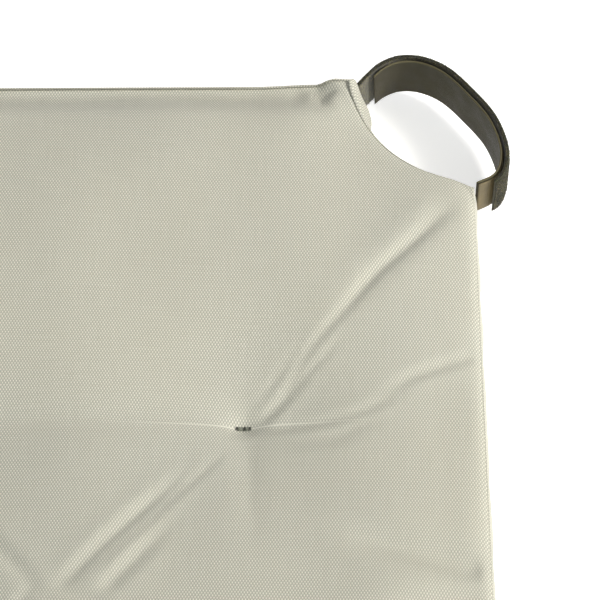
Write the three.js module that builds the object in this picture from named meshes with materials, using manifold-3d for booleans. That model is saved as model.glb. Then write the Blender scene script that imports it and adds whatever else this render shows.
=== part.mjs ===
// Chair seat pad: a tufted, crowned pad with both back corners cut away in a quarter circle,
// and a pair of hook-and-loop straps across each cut to close round the chair's back posts.
// Millimetres, +Z up, +Y towards the chair's back. The origin is the middle of the underside.

import * as THREE from 'three';
import { mergeVertices } from 'three/addons/utils/BufferGeometryUtils.js';
import Module from 'manifold-3d';

const wasm = await Module();
wasm.setup();

// ---- driving dimensions -------------------------------------------------------------------

const WIDTH = 400;
const DEPTH = 480;
const EDGE_HEIGHT = 36;
const CROWN = 7;
const CROWN_POWER = 4;
const FRONT_CORNER_RADIUS = 26;
const NOTCH_RADIUS = 57;
const NOTCH_RAMP = 70;

const GAP = 0.3;
const PANEL = 0.7;
const SIDE_STRIP = 0.8;
const SIDE_BULGE = 3;
const SIDE_ROUNDING = 6;
const WADDING = 4;
const FILLING_INSET = 5;

const TUFT_X = 87;
const TUFT_BACK_Y = 45;
const TUFT_FRONT_Y = -129;
const TUFT_TOP_PROFILE = [[6, 0], [15, 5], [30, 9.5], [52, 12]];
const TUFT_TOP_Z = 30;
const TUFT_UNDER_PROFILE = [[6, 0], [13, 3.5], [24, 6]];
const TUFT_UNDER_Z = 6;
const TUFT_BAR = [7.4, 2.2, 1.2];
const TUFT_THREADS = [5.4, 1.0];

const STRAP_WIDTH = 25;
const STRAP_MID_Z = 19;
const TAPE = 0.8;
const PILE = 1.1;
const HOOKS = 0.8;
const SEWN_END_LENGTH = 14;

// Where each layer of the closed strap lies, measured outwards from the strap's middle line.
const OUTER_TAPE_OFFSET = 1.8;
const PILE_OFFSET = 0.55;
const HOOKS_OFFSET = -0.7;
const INNER_TAPE_OFFSET = -1.8;

// The strap's middle line in plan, from the back edge round to the side edge, measured from
// the square corner that the cut takes away: a smooth curve through these points.
const STRAP_POINTS = [
  [-56.2, -0.4], [-42, 12], [-26, 17.5], [-8, 8.5], [8.5, -11], [13.8, -26], [14.2, -39], [10.5, -50], [1.3, -57.6],
];
const STRAP_STEPS = 22;

// How far each layer stops short of the strap's two ends, measured along the middle line.
const OUTER_TAPE_SPAN = { fromBack: 0, fromSide: 9 };
const PILE_SPAN = { fromBack: 7, fromSide: 10 };
const HOOKS_SPAN = { fromBack: 22, fromSide: 4 };
const INNER_TAPE_SPAN = { fromBack: 7, fromSide: 0 };

// ---- materials ----------------------------------------------------------------------------

const cloth = () => new THREE.MeshStandardMaterial({ color: 0xbfbda8, roughness: 0.85, metalness: 0 });
const foam = () => new THREE.MeshStandardMaterial({ color: 0xe8dfa8, roughness: 1, metalness: 0 });
const fibre = () => new THREE.MeshStandardMaterial({ color: 0xf4f3ee, roughness: 1, metalness: 0 });
const thread = () => new THREE.MeshStandardMaterial({ color: 0x6f7566, roughness: 0.7, metalness: 0 });
const tape = () => new THREE.MeshStandardMaterial({ color: 0x3e3828, roughness: 0.75, metalness: 0 });
const pile = () => new THREE.MeshStandardMaterial({ color: 0x333018, roughness: 1, metalness: 0 });
const hooks = () => new THREE.MeshStandardMaterial({ color: 0x86785a, roughness: 0.6, metalness: 0 });

// ---- solids and booleans ------------------------------------------------------------------

function solidOf(geometry) {
  const bare = geometry.clone();
  bare.deleteAttribute('normal');
  bare.deleteAttribute('uv');
  const merged = mergeVertices(bare, 1e-4);
  return new wasm.Manifold(new wasm.Mesh({
    numProp: 3,
    vertProperties: new Float32Array(merged.attributes.position.array),
    triVerts: new Uint32Array(merged.index.array),
  }));
}

function meshOf(name, solid, material) {
  const { vertProperties, triVerts } = solid.getMesh();
  const geometry = new THREE.BufferGeometry();
  geometry.setAttribute('position', new THREE.BufferAttribute(new Float32Array(vertProperties), 3));
  geometry.setIndex(new THREE.BufferAttribute(new Uint32Array(triVerts), 1));
  geometry.computeVertexNormals();
  const mesh = new THREE.Mesh(geometry, material);
  mesh.name = name;
  return mesh;
}

function block(low, high) {
  const size = high.map((value, i) => value - low[i]);
  const middle = high.map((value, i) => (value + low[i]) / 2);
  return solidOf(new THREE.BoxGeometry(...size).translate(...middle));
}

function joined(solids) {
  return solids.reduce((whole, solid) => whole.add(solid));
}

// ---- the pad's outline and crown ----------------------------------------------------------

// The plan of the pad, drawn in by a distance: rounded front corners, quarter-circle cuts behind.
function outline(inset) {
  const x = WIDTH / 2 - inset;
  const y = DEPTH / 2 - inset;
  const front = FRONT_CORNER_RADIUS - inset;
  const cut = NOTCH_RADIUS + inset;
  const cornerX = WIDTH / 2;
  const cornerY = DEPTH / 2;
  const start = Math.asin(inset / cut);
  const shape = new THREE.Shape();
  shape.moveTo(-x + front, -y);
  shape.lineTo(x - front, -y);
  shape.absarc(x - front, -y + front, front, -Math.PI / 2, 0, false);
  shape.absarc(cornerX, cornerY, cut, 1.5 * Math.PI - start, Math.PI + start, true);
  shape.absarc(-cornerX, cornerY, cut, -start, -Math.PI / 2 + start, true);
  shape.absarc(-x + front, -y + front, front, Math.PI, 1.5 * Math.PI, false);
  return shape;
}

function plan(inset, low, high) {
  const options = { depth: high - low, bevelEnabled: false, curveSegments: 8 };
  return solidOf(new THREE.ExtrudeGeometry(outline(inset), options).translate(0, 0, low));
}

function crownHeight(x, y) {
  const across = 1 - Math.min(1, Math.abs(x) / (WIDTH / 2)) ** CROWN_POWER;
  const along = 1 - Math.min(1, Math.abs(y) / (DEPTH / 2)) ** CROWN_POWER;
  const toCorner = Math.hypot(WIDTH / 2 - Math.abs(x), DEPTH / 2 - y) - NOTCH_RADIUS;
  const ramp = 1 - Math.min(1, Math.max(0, toCorner / NOTCH_RAMP));
  return EDGE_HEIGHT + CROWN * across * along * (1 - ramp ** 2);
}

function tuftPlaces() {
  const places = [];
  for (const [row, y] of [['front', TUFT_FRONT_Y], ['back', TUFT_BACK_Y]]) {
    for (const [side, x] of [['left', -TUFT_X], ['right', TUFT_X]]) {
      places.push({ name: `tuft_${row}_${side}`, x, y });
    }
  }
  return places;
}

// A solid of revolution that dents the face it is taken from: narrow at z = 0, wide above.
function dent(profile, height) {
  const [rimRadius] = profile[profile.length - 1];
  const points = [[0, 0], ...profile, [rimRadius, height], [0, height]];
  const lathe = new THREE.LatheGeometry(points.map(([r, z]) => new THREE.Vector2(r, z)), 12);
  return solidOf(lathe.rotateX(Math.PI / 2));
}

// Everything below the crowned top face, dented at the tufts.
function underTopFace() {
  const below = 60;
  const spare = 4;
  const box = new THREE.BoxGeometry(WIDTH + spare, DEPTH + spare, below, 8, 10, 1);
  const points = box.attributes.position;
  for (let i = 0; i < points.count; i += 1) {
    const lift = crownHeight(points.getX(i), points.getY(i));
    points.setZ(i, points.getZ(i) > 0 ? lift : -below);
  }
  const dents = tuftPlaces().map(({ x, y }) => dent(TUFT_TOP_PROFILE, 30).translate(x, y, TUFT_TOP_Z));
  return solidOf(box).subtract(joined(dents));
}

// Everything above the flat underside, dented at the tufts.
function aboveUnderside() {
  const face = block([-WIDTH, -DEPTH, 0], [WIDTH, DEPTH, 100]);
  const dents = tuftPlaces().map(({ x, y }) => (
    dent(TUFT_UNDER_PROFILE, 20).mirror([0, 0, 1]).translate(x, y, TUFT_UNDER_Z)
  ));
  return face.subtract(joined(dents));
}

function lowered(solid, distance) {
  return solid.translate(0, 0, -distance);
}

// Slots that the tufts' threads pass through, in every layer.
function threadSlots() {
  const halfX = TUFT_THREADS[0] / 2 + GAP;
  const halfY = TUFT_THREADS[1] / 2 + GAP;
  return joined(tuftPlaces().map(({ x, y }) => block([x - halfX, y - halfY, -1], [x + halfX, y + halfY, 60])));
}

// ---- cover and filling --------------------------------------------------------------------

function coverPanels(top, under, slots) {
  const inside = plan(SIDE_BULGE, -1, 60);
  const topPanel = top.subtract(lowered(top, PANEL)).intersect(inside).subtract(slots);
  const bottomPanel = under.subtract(lowered(under, -PANEL)).intersect(inside).subtract(slots);
  return [
    meshOf('cover_top', topPanel, cloth()),
    meshOf('cover_bottom', bottomPanel, cloth()),
  ];
}

// The side strips' wall: upright in the middle, rounded in to the seams above and below.
function sideWall() {
  const low = PANEL + GAP;
  const high = EDGE_HEIGHT - PANEL - GAP;
  const wall = (inset) => {
    const options = {
      depth: high - low - 2 * SIDE_ROUNDING,
      bevelThickness: SIDE_ROUNDING,
      bevelSize: SIDE_BULGE,
      bevelOffset: -SIDE_BULGE,
      bevelSegments: 2,
      curveSegments: 8,
    };
    const geometry = new THREE.ExtrudeGeometry(outline(inset), options);
    return solidOf(geometry.translate(0, 0, low + SIDE_ROUNDING));
  };
  return wall(0).subtract(wall(SIDE_STRIP));
}

// The diagonal band across a back corner that holds that corner's curved strip.
function cornerBand(side, spare) {
  const reach = 170;
  const across = NOTCH_RADIUS * Math.SQRT2 + 2 * spare;
  const box = new THREE.BoxGeometry(reach, across, 100);
  box.rotateZ(side * Math.PI / 4);
  return solidOf(box.translate(side * WIDTH / 2, DEPTH / 2, 0));
}

function sideStrips() {
  const wall = sideWall();
  const bands = joined([cornerBand(-1, GAP / 2), cornerBand(1, GAP / 2)]);
  const straight = wall.subtract(bands);
  const seamY = -DEPTH / 2 + FRONT_CORNER_RADIUS;
  const middle = WIDTH / 4;
  const backY = DEPTH / 2 - NOTCH_RADIUS / 2;
  const regions = {
    cover_side_front: block([-WIDTH, -DEPTH, -1], [WIDTH, seamY - GAP / 2, 60]),
    cover_side_left: block([-WIDTH, seamY + GAP / 2, -1], [-WIDTH / 2 + 10, backY, 60]),
    cover_side_right: block([WIDTH / 2 - 10, seamY + GAP / 2, -1], [WIDTH, backY, 60]),
    cover_side_back: block([-WIDTH / 2, backY, -1], [WIDTH / 2, DEPTH, 60]),
  };
  const strips = Object.entries(regions).map(([name, region]) => (
    meshOf(name, straight.intersect(region), cloth())
  ));
  for (const [name, side] of [['left', -1], ['right', 1]]) {
    const corner = block([Math.min(0, side * WIDTH), middle, -1], [Math.max(0, side * WIDTH), DEPTH, 60]);
    const strip = wall.intersect(cornerBand(side, -GAP / 2)).intersect(corner);
    strips.push(meshOf(`cover_notch_${name}`, strip, cloth()));
  }
  return strips;
}

function filling(top, under, slots) {
  const inside = plan(FILLING_INSET, -1, 60);
  const outer = PANEL + GAP;
  const inner = outer + WADDING;
  const core = inner + GAP;
  const layer = (face, sign) => lowered(face, sign * outer).subtract(lowered(face, sign * inner));
  const trimmed = (solid) => solid.intersect(inside).subtract(slots);
  const foamCore = lowered(top, core).intersect(lowered(under, -core));
  return [
    meshOf('foam_core', trimmed(foamCore), foam()),
    meshOf('wadding_top', trimmed(layer(top, 1)), fibre()),
    meshOf('wadding_bottom', trimmed(layer(under, -1)), fibre()),
  ];
}

// ---- tufts --------------------------------------------------------------------------------

// A sewn bar above, a sewn bar below, and the threads that pull them together.
function tufts() {
  const [barLength, barWidth, barHeight] = TUFT_BAR;
  const [threadsLength, threadsWidth] = TUFT_THREADS;
  const topBase = TUFT_TOP_Z + GAP;
  const underTop = TUFT_UNDER_Z - GAP;
  const bar = (length, width, low, high) => block([-length / 2, -width / 2, low], [length / 2, width / 2, high]);
  return tuftPlaces().map(({ name, x, y }) => {
    const solid = joined([
      bar(barLength, barWidth, topBase, topBase + barHeight),
      bar(threadsLength, threadsWidth, underTop - barHeight / 2, topBase + barHeight / 2),
      bar(barLength, barWidth, underTop - barHeight, underTop),
    ]);
    return meshOf(name, solid.translate(x, y, 0), thread());
  });
}

// ---- straps -------------------------------------------------------------------------------

function strapLine() {
  const points = STRAP_POINTS.map(([x, y]) => new THREE.Vector2(x, y));
  return new THREE.SplineCurve(points).getPoints(STRAP_STEPS);
}

// A line moved sideways, outwards when the distance is positive.
function shifted(line, distance) {
  const normalOf = (a, b) => new THREE.Vector2(a.y - b.y, b.x - a.x).normalize();
  return line.map((point, i) => {
    const before = i > 0 ? normalOf(line[i - 1], point) : normalOf(point, line[1]);
    const after = i < line.length - 1 ? normalOf(point, line[i + 1]) : before;
    const mitre = before.clone().add(after).normalize();
    return point.clone().addScaledVector(mitre, distance / mitre.dot(before));
  });
}

// The part of a line left when its two ends are cut back by the given lengths.
function trimmedLine(line, { fromBack, fromSide }) {
  const cutBack = (points, length) => {
    const rest = points.slice();
    let left = length;
    while (left > 0) {
      const step = rest[0].distanceTo(rest[1]);
      if (step > left) {
        rest[0] = rest[0].clone().lerp(rest[1], left / step);
        left = 0;
      } else {
        left -= step;
        rest.shift();
      }
    }
    return rest;
  };
  const fromStart = cutBack(line, fromBack);
  return cutBack(fromStart.reverse(), fromSide).reverse();
}

// A tape standing on edge along a line, with rounded ends.
function standingTape(line, thickness, width) {
  const outer = shifted(line, thickness / 2);
  const inner = shifted(line, -thickness / 2).reverse();
  const last = line[line.length - 1];
  const cap = (end, from) => {
    const out = from.clone().sub(end).rotateAround(new THREE.Vector2(), -Math.PI / 2);
    return end.clone().add(out);
  };
  const points = [...outer, cap(last, outer[outer.length - 1]), ...inner, cap(line[0], inner[inner.length - 1])];
  const options = { depth: width, bevelEnabled: false };
  const geometry = new THREE.ExtrudeGeometry(new THREE.Shape(points), options);
  return solidOf(geometry.translate(0, 0, STRAP_MID_Z - width / 2));
}

function placedAtCorner(solid, side) {
  const turned = side > 0 ? solid : solid.mirror([1, 0, 0]);
  return turned.translate(side * WIDTH / 2, DEPTH / 2, 0);
}

function straps() {
  const line = strapLine();
  const layers = [
    { name: 'outer_strap', offset: OUTER_TAPE_OFFSET, span: OUTER_TAPE_SPAN, thickness: TAPE, trim: 0, material: tape },
    { name: 'loop_pile', offset: PILE_OFFSET, span: PILE_SPAN, thickness: PILE, trim: 1.5, material: pile },
    { name: 'hook_field', offset: HOOKS_OFFSET, span: HOOKS_SPAN, thickness: HOOKS, trim: 1.5, material: hooks },
    { name: 'inner_strap', offset: INNER_TAPE_OFFSET, span: INNER_TAPE_SPAN, thickness: TAPE, trim: 0, material: tape },
  ];
  return layers.flatMap(({ name, offset, span, thickness, trim, material }) => {
    const layerLine = shifted(trimmedLine(line, span), offset);
    const solid = standingTape(layerLine, thickness, STRAP_WIDTH - 2 * trim);
    return [['left', -1], ['right', 1]].map(([label, side]) => (
      meshOf(`${name}_${label}`, placedAtCorner(solid, side), material())
    ));
  });
}

// The ends of the straps that are sewn in, flat behind the straight side strips.
function sewnEnds() {
  const from = NOTCH_RADIUS + SIDE_BULGE;
  const face = SIDE_STRIP + 3 * GAP;
  const low = STRAP_MID_Z - STRAP_WIDTH / 2;
  const high = STRAP_MID_Z + STRAP_WIDTH / 2;
  const behindBack = block([-from - SEWN_END_LENGTH, -face - TAPE, low], [-from, -face, high]);
  const behindSide = block([-face - TAPE, -from - SEWN_END_LENGTH, low], [-face, -from, high]);
  return [['left', -1], ['right', 1]].flatMap(([label, side]) => [
    meshOf(`outer_strap_sewn_end_${label}`, placedAtCorner(behindBack, side), tape()),
    meshOf(`inner_strap_sewn_end_${label}`, placedAtCorner(behindSide, side), tape()),
  ]);
}

// ---- the whole pad ------------------------------------------------------------------------

function seatPad() {
  const top = underTopFace();
  const under = aboveUnderside();
  const slots = threadSlots();
  const pad = new THREE.Group();
  pad.add(...coverPanels(top, under, slots));
  pad.add(...sideStrips());
  pad.add(...filling(top, under, slots));
  pad.add(...tufts());
  pad.add(...straps());
  pad.add(...sewnEnds());
  return pad;
}

export default seatPad();
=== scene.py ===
"""A tufted chair seat pad with cut back corners and hook-and-loop straps."""
import math

import bpy
import numpy as np
from mathutils import Matrix, Vector, geometry


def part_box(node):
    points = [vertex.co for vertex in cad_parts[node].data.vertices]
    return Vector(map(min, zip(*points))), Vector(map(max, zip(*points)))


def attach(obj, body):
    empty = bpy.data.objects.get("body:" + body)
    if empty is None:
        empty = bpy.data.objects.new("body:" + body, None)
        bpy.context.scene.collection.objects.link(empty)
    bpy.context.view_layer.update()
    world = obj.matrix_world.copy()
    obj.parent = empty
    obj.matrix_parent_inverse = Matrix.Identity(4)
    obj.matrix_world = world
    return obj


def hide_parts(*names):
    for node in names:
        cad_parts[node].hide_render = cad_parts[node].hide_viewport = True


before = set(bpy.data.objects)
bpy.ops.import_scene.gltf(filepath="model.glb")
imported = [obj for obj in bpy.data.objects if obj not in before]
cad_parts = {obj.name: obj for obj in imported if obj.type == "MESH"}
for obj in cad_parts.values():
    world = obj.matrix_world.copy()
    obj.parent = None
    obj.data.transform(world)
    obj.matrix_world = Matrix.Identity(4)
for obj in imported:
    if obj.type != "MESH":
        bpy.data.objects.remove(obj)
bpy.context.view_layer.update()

MM = 0.001
rng = np.random.default_rng(11)


# --- sizes, in millimetres, from the frame

def node_box(name):
    low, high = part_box(name)
    return np.array(low) / MM, np.array(high) / MM


HALF_WIDTH = node_box("cover_side_right")[1][0]
BACK_Y = node_box("cover_side_back")[1][1]
FRONT_Y = node_box("cover_side_front")[0][1]
NOTCH_RADIUS = HALF_WIDTH - round(node_box("cover_side_back")[1][0])
CUT_BACK_X = HALF_WIDTH - NOTCH_RADIUS
CUT_SIDE_Y = BACK_Y - NOTCH_RADIUS
FRONT_RADIUS = round(node_box("cover_side_front")[1][1] - FRONT_Y)
STRAP_LOW, STRAP_HIGH = (node_box("outer_strap_right")[end][2] for end in (0, 1))

# How far the seams lie inside the widest line of the side strips.
SIDE_INSET = 2.4
BACK_INSET = 2.6
NOTCH_INSET = 1.4
NOTCH_INSET_BACK = 3.4
TIP_ROUNDING = 4.0

# The stuffed shape: its seams, crown and dips, with how far each reaches.
SEAM_TOP_Z = node_box("cover_side_right")[1][2] + 1.0
SEAM_LOW_Z = 3.2
TOP_ROLL = 2.0
TOP_CROWN = 4.2
CROWN_REACH = 24.0
BACK_DROP = 7.5
BACK_REACH = 12.0
CORNER_LIFT = 6.0
ROW_DIP = 4.0
ROW_REACH = 17.0
CLOTH_THICKNESS = 0.6

# The tufts: depth of the dip, and how far its steep and its wide part reach.
ROWS = ("front", "back")
SIDES = {"left": -1, "right": 1}
TUFTS = {(row, side): sum(node_box(f"tuft_{row}_{side}")) / 2 for row in ROWS for side in SIDES}
TUFT_X = TUFTS["back", "right"][0]
TUFT_DIP = (4.5, 8, 34)
TUFT_RISE = 2.5
TUFT_FLOOR_Z = node_box("tuft_back_right")[1][2] + TUFT_RISE - 1.5
TUFT_UNDER_Z = node_box("tuft_back_right")[0][2] + 1.5
TUFT_STRETCH = 1.25

# The weave: one warp and one weft thread, across and along the pad, turned a little off square.
WARP_PITCH = 0.70
WEFT_PITCH = 1.15
GRAIN_TURN = math.radians(3)


# --- outline of the pad

def smooth(value):
    t = np.clip(value, 0, 1)
    return t * t * (3 - 2 * t)


def bell(distance, width):
    return np.exp(-((distance / width) ** 2))


def arc(x, y, radius, start, end, count=40):
    angles = np.radians(np.linspace(start, end, count))
    return np.stack([x + radius * np.cos(angles), y + radius * np.sin(angles)], 1)


def notch_inset(degrees):
    """How far in from the cut's face the seam runs: further where the strap is sewn in at the back,
    and at the rounded tip where the cut meets the side."""
    more_at_back = (NOTCH_INSET_BACK - NOTCH_INSET) * bell(degrees + 180, 17)
    return NOTCH_INSET + more_at_back + TIP_ROUNDING * bell(degrees + 90, 7)


def half_outline(level, gap):
    """The right half of the plan, from the middle of the front round to the middle of the back.

    Level 0 is the widest line of the side strips and level 1 the seams; gap is further inside that."""
    side = SIDE_INSET * level + gap
    back = BACK_INSET * level + gap
    side_x = HALF_WIDTH - side
    turn_x = HALF_WIDTH - FRONT_RADIUS
    turn_y = FRONT_Y + FRONT_RADIUS
    turn = FRONT_RADIUS - side
    low_lean = high_lean = 0.0
    for _ in range(12):
        low_radius = NOTCH_RADIUS + gap + level * notch_inset(-90 - low_lean)
        high_radius = NOTCH_RADIUS + gap + level * notch_inset(-180 + high_lean)
        low_lean = math.degrees(math.asin(side / low_radius))
        high_lean = math.degrees(math.asin(back / high_radius))
    low_cut = low_radius * math.cos(math.radians(low_lean))
    high_cut = high_radius * math.cos(math.radians(high_lean))
    degrees = np.linspace(-90 - low_lean, -180 + high_lean, 81)
    radius = NOTCH_RADIUS + gap + level * notch_inset(degrees)
    radians = np.radians(degrees)
    notch = np.stack([HALF_WIDTH + radius * np.cos(radians), BACK_Y + radius * np.sin(radians)], 1)
    return {
        "front": np.array([(0, FRONT_Y + side), (turn_x, FRONT_Y + side)]),
        "turn": arc(turn_x, turn_y, turn, -90, 0),
        "side": np.array([(side_x, turn_y), (side_x, BACK_Y - low_cut)]),
        "notch": notch,
        "back": np.array([(HALF_WIDTH - high_cut, BACK_Y - back), (0, BACK_Y - back)]),
    }


def mirrored(points):
    return points[::-1] * np.array([-1, 1])


def chained(*pieces):
    return np.concatenate([pieces[0]] + [piece[1:] for piece in pieces[1:]])


def lengths_along(points):
    steps = np.linalg.norm(np.diff(points, axis=0), axis=1)
    return np.concatenate([[0], np.cumsum(steps)])


def at_fraction(points, fractions):
    along = lengths_along(points)
    wanted = np.asarray(fractions) * along[-1]
    return np.stack([np.interp(wanted, along, points[:, k]) for k in (0, 1)], -1)


RING_GAPS = (0, 0.5, 1.1, 1.9, 3.0, 4.4, 6.2, 8.4)


def closed_outline(level, gap, step):
    """The whole plan as one closed run of points, with the same number of points at any level and gap."""
    points = []
    for part, full in half_outline(level, gap).items():
        count = max(2, round(lengths_along(half_outline(1, 0)[part])[-1] / step))
        points.append(at_fraction(full, np.linspace(0, 1, count + 1))[:-1])
    right = np.concatenate([*points, half_outline(level, gap)["back"][-1:]])
    return np.concatenate([right, mirrored(right)[1:-1]])


def edge_distance(x, y):
    """The nearest distance in from the seams to a point; below zero outside them."""
    out = np.abs(x)
    turned = np.degrees(np.arctan2(y - BACK_Y, out - HALF_WIDTH))
    notch = np.hypot(HALF_WIDTH - out, BACK_Y - y) - NOTCH_RADIUS - notch_inset(turned)
    edges = [HALF_WIDTH - SIDE_INSET - out, BACK_Y - BACK_INSET - y, y - (FRONT_Y + SIDE_INSET), notch]
    turn_x = out - (HALF_WIDTH - FRONT_RADIUS)
    turn_y = (FRONT_Y + FRONT_RADIUS) - y
    turn = np.where((turn_x > 0) & (turn_y > 0), FRONT_RADIUS - SIDE_INSET - np.hypot(turn_x, turn_y), 1e9)
    return [*edges, turn]


def ring_faces(rings, around):
    """Four-sided faces between closed rings of points that follow one another."""
    low = np.arange(rings - 1)[:, None] * around
    high = low + around
    here = np.arange(around)
    ahead = (here + 1) % around
    return np.stack([low + here, low + ahead, high + ahead, high + here], -1).reshape(-1, 4).tolist()


class PadMesh:
    """A mesh over the plan inside the seams: rings along the seams, squares inside, and a band between."""

    def __init__(self, step, first_gap=0.0, ring_gaps=RING_GAPS):
        gaps = [first_gap + gap for gap in ring_gaps]
        rings = [closed_outline(1, gap, step) for gap in gaps]
        around = len(rings[0])
        faces = ring_faces(len(rings), around)
        points = np.concatenate(rings)
        lattice_x = np.arange(-HALF_WIDTH, HALF_WIDTH + step, step)
        lattice_y = np.arange(FRONT_Y, BACK_Y + step, step)
        x, y = np.meshgrid(lattice_x, lattice_y)
        clear = np.min(edge_distance(x, y), axis=0) - gaps[-1] > 0.75 * step
        kept = clear[:-1, :-1] & clear[1:, :-1] & clear[:-1, 1:] & clear[1:, 1:]
        used = np.zeros(x.shape, bool)
        cells_at = np.zeros(x.shape, int)
        for down in (0, 1):
            for right in (0, 1):
                used[down:down + kept.shape[0], right:right + kept.shape[1]] |= kept
                cells_at[down:down + kept.shape[0], right:right + kept.shape[1]] += kept
        number = np.full(x.shape, -1)
        number[used] = np.arange(used.sum()) + len(points)
        inner = np.stack([x[used], y[used]], 1)
        corners = [number[:-1, :-1], number[:-1, 1:], number[1:, 1:], number[1:, :-1]]
        faces += np.stack([corner[kept] for corner in corners], 1).tolist()
        border = used & (cells_at < 4)
        faces += self.band(rings[-1], len(points) - around, x, y, number, border, kept, gaps[-1])
        self.points = np.concatenate([points, inner])
        self.faces = faces
        self.rim = np.arange(around)

    @staticmethod
    def band(ring, ring_start, x, y, number, border, kept, gap):
        """Triangles between the innermost ring and the squares."""
        rows, columns = np.nonzero(border)
        edge_number = {int(number[r, c]): k + len(ring) for k, (r, c) in enumerate(zip(rows, columns))}
        known = [*range(ring_start, ring_start + len(ring)), *edge_number]
        places = [*map(Vector, ring), *(Vector((x[r, c], y[r, c])) for r, c in zip(rows, columns))]
        lines = [(k, (k + 1) % len(ring)) for k in range(len(ring))]
        padded = np.pad(kept, 1)
        across = padded[:-1, 1:-1] != padded[1:, 1:-1]
        up = padded[1:-1, :-1] != padded[1:-1, 1:]
        for edges, down, right in ((across, 0, 1), (up, 1, 0)):
            lines += [(edge_number[int(number[r, c])], edge_number[int(number[r + down, c + right])])
                      for r, c in zip(*np.nonzero(edges))]
        found, _, triangles, origin, _, _ = geometry.delaunay_2d_cdt(places, lines, [], 0, 1e-5)
        step = x[0, 1] - x[0, 0]
        faces = []
        for triangle in triangles:
            corner = np.array([found[k][:] for k in triangle])
            middle = corner.mean(0)
            column = int((middle[0] - x[0, 0]) // step)
            row = int((middle[1] - y[0, 0]) // step)
            if 0 <= row < kept.shape[0] and 0 <= column < kept.shape[1] and kept[row, column]:
                continue
            if np.min(edge_distance(*middle)) < gap - 0.02:
                continue
            turn = np.cross(corner[1] - corner[0], corner[2] - corner[0])
            numbers = [known[origin[k][0]] for k in triangle]
            faces.append(tuple(numbers if turn > 0 else numbers[::-1]))
        return faces


def spaced(length, step, edge_rows):
    """Stops from 0 to length: every edge row near both ends, and about a step between."""
    fixed = sorted({0.0, length, *edge_rows, *(length - row for row in edge_rows)})
    stops = [0.0]
    for low, high in zip(fixed, fixed[1:]):
        count = max(1, round((high - low) / step))
        stops += list(np.linspace(low, high, count + 1)[1:])
    return np.array(stops)


# --- small shape functions

def seam_distance(x, y):
    """How far inside the seams a point lies, rounded off where two edges are equally near."""
    round_off = 4.0
    *edges, turn = edge_distance(x, y)
    nearest = -round_off * np.log(sum(np.exp(-np.minimum(edge, 400) / round_off) for edge in edges))
    return np.clip(np.minimum(nearest, turn), 0, None)


def along_line(x, y, points):
    """Distance to a line through points (positive on its left) and how far along it, from 0 to 1."""
    line = np.asarray(points, float)
    along = lengths_along(line)
    best = np.full(x.shape, 1e9)
    side = np.zeros(x.shape)
    place = np.zeros(x.shape)
    for i in range(len(line) - 1):
        step = line[i + 1] - line[i]
        span = np.hypot(*step)
        dx, dy = x - line[i, 0], y - line[i, 1]
        t = np.clip((dx * step[0] + dy * step[1]) / span**2, 0, 1)
        away = np.hypot(dx - t * step[0], dy - t * step[1])
        nearer = away < best
        best = np.where(nearer, away, best)
        side = np.where(nearer, np.sign(step[0] * dy - step[1] * dx), side)
        place = np.where(nearer, (along[i] + t * span) / along[-1], place)
    return best * side, place


def curved(points, steps=6):
    """A Catmull-Rom curve through points."""
    p = np.asarray(points, float)
    p = np.concatenate([p[:1], p, p[-1:]])
    out = []
    for i in range(1, len(p) - 2):
        for t in np.linspace(0, 1, steps, endpoint=False):
            a, b = (p[i + 1] - p[i - 1]) / 2, (p[i + 2] - p[i]) / 2
            out.append(
                (2 * p[i] - 2 * p[i + 1] + a + b) * t**3
                + (-3 * p[i] + 3 * p[i + 1] - 2 * a - b) * t**2 + a * t + p[i]
            )
    out.append(p[-2])
    return np.array(out)


# --- meshes

def into_scene(name, data):
    obj = bpy.data.objects.new(name, data)
    bpy.context.scene.collection.objects.link(obj)
    return obj


def new_object(name, vertices, faces, cloth=None):
    """A smooth object from vertices in millimetres, with each one's place on the flat cloth."""
    mesh = bpy.data.meshes.new(name)
    mesh.from_pydata([tuple(v) for v in np.asarray(vertices) * MM], [], [tuple(f) for f in faces])
    if cloth is not None:
        attribute = mesh.attributes.new("cloth", "FLOAT_VECTOR", "POINT")
        attribute.data.foreach_set("vector", np.asarray(cloth, np.float32).ravel())
    mesh.polygons.foreach_set("use_smooth", [True] * len(mesh.polygons))
    mesh.update()
    return into_scene(name, mesh)


def grid_faces(rows, columns):
    index = np.arange(rows * columns).reshape(rows, columns)
    return np.stack([index[:-1, :-1], index[:-1, 1:], index[1:, 1:], index[1:, :-1]], -1).reshape(-1, 4)


def closed_faces(plan):
    """The faces of a closed block: a plan mesh, the same one again below it, and the walls between."""
    count = len(plan.points)
    ahead = np.roll(plan.rim, -1)
    walls = np.stack([plan.rim, plan.rim + count, ahead + count, ahead], 1).tolist()
    under = [[k + count for k in face[::-1]] for face in plan.faces]
    return [*plan.faces, *under, *walls]


def stands_for(obj, node, body):
    """This piece takes the place of a CAD node and moves with a body."""
    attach(obj, body)
    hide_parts(node)
    return obj


def applied(obj):
    """The object with its modifiers made part of its mesh."""
    depsgraph = bpy.context.evaluated_depsgraph_get()
    mesh = bpy.data.meshes.new_from_object(obj.evaluated_get(depsgraph), preserve_all_data_layers=True,
                                           depsgraph=depsgraph)
    obj.modifiers.clear()
    obj.data = mesh
    return obj


def thicken(obj):
    """Gives a sheet of cover cloth its thickness, behind its outer face."""
    solid = obj.modifiers.new("thickness", "SOLIDIFY")
    solid.thickness = CLOTH_THICKNESS * MM
    solid.offset = -1
    return applied(obj)


def turned_grain(x, y):
    c, s = math.cos(GRAIN_TURN), math.sin(GRAIN_TURN)
    return x * c - y * s, x * s + y * c


# --- the stuffed shape, by cloth simulation

def tuft_distances(x, y, stretch):
    """The distance to each tuft in turn, with places along its sewn bar brought nearer by a stretch."""
    return [np.hypot((x - centre[0]) / stretch, y - centre[1]) for centre in TUFTS.values()]


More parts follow.
